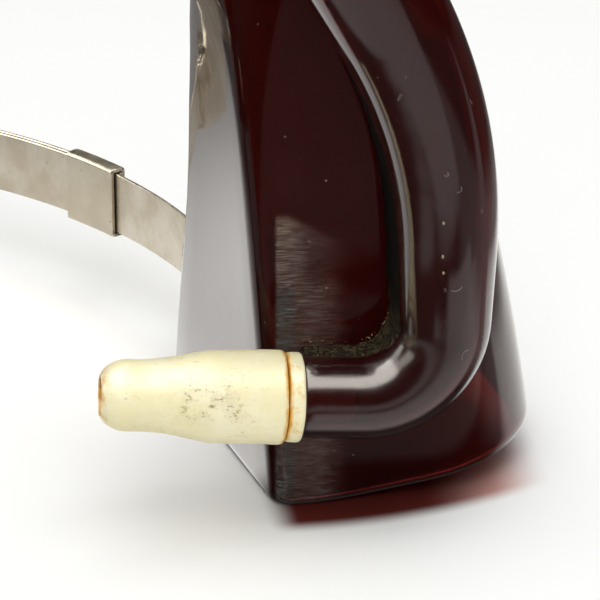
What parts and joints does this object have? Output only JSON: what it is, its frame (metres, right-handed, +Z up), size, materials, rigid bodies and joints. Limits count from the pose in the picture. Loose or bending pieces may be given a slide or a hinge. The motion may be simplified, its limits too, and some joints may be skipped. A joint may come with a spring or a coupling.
{
  "type": "acoustic headband",
  "caption": "Spring headband carrying a pair of folded ear-trumpet horns, each with a conical neck tube and a push-on ear tip; sides telescope, horns tilt.",
  "frame": {"origin": "on the surface it stands on, under the middle of the whole object", "axes": "+X across the head towards the wearer's right-hand horn, +Y towards the crown of the band, +Z up from the horn mouths to the folds of the necks"},
  "size_m": [0.2054, 0.1212, 0.1032],
  "materials": {
    "horn_resin": "deep ruby translucent resin, highly polished",
    "ivory": "ivory-coloured, satin, aged with brown specks",
    "nickel_spring": "nickel-plated spring steel with tarnish",
    "nickel_fitting": "nickel plate, dulled",
    "brass": "plain turned brass"
  },
  "bodies": {
    "headband": {"top_band": "nickel_spring", "right_band_sleeve": "nickel_fitting", "left_band_sleeve": "nickel_fitting"},
    "right_arm": {"right_side_band": "nickel_spring", "right_stop_clip": "nickel_fitting"},
    "right_horn": {"right_horn_bell": "horn_resin", "right_neck_tube": "horn_resin", "right_tip_collar": "ivory", "right_tip_nipple": "brass", "right_pivot_bracket": "nickel_fitting", "right_bracket_screws": "nickel_fitting", "right_pivot_screw": "nickel_fitting", "right_pivot_washer": "nickel_spring", "right_pivot_nut": "nickel_fitting"},
    "right_tip": {"right_ear_tip": "ivory"},
    "left_arm": {"left_side_band": "nickel_spring", "left_stop_clip": "nickel_fitting"},
    "left_horn": {"left_horn_bell": "horn_resin", "left_neck_tube": "horn_resin", "left_tip_collar": "ivory", "left_tip_nipple": "brass", "left_pivot_bracket": "nickel_fitting", "left_bracket_screws": "nickel_fitting", "left_pivot_screw": "nickel_fitting", "left_pivot_washer": "nickel_spring", "left_pivot_nut": "nickel_fitting"},
    "left_tip": {"left_ear_tip": "ivory"}
  },
  "joints": [
    {"name": "right_band_slide", "type": "hinge", "parent": "headband", "child": "right_arm", "pos_m": [-0.0206, -0.0209, 0.0162], "axis": [0, 0, -1], "range_deg": [0, 16]},
    {"name": "right_horn_pivot", "type": "hinge", "parent": "right_arm", "child": "right_horn", "pos_m": [0.06218, 0.0024, 0.0162], "axis": [0.9626, 0.2709, 0], "range_deg": [-25, 25]},
    {"name": "right_tip_pull", "type": "slide", "parent": "right_horn", "child": "right_tip", "axis": [-0.9972, 0, 0.075], "range_m": [0, 0.012]},
    {"name": "left_band_slide", "type": "hinge", "parent": "headband", "child": "left_arm", "pos_m": [0.0206, -0.0209, 0.0162], "axis": [0, 0, 1], "range_deg": [0, 16]},
    {"name": "left_horn_pivot", "type": "hinge", "parent": "left_arm", "child": "left_horn", "pos_m": [-0.06218, 0.0024, 0.0162], "axis": [0.9626, -0.2709, 0], "range_deg": [-25, 25]},
    {"name": "left_tip_pull", "type": "slide", "parent": "left_horn", "child": "left_tip", "axis": [0.9972, 0, 0.075], "range_m": [0, 0.012]}
  ]
}
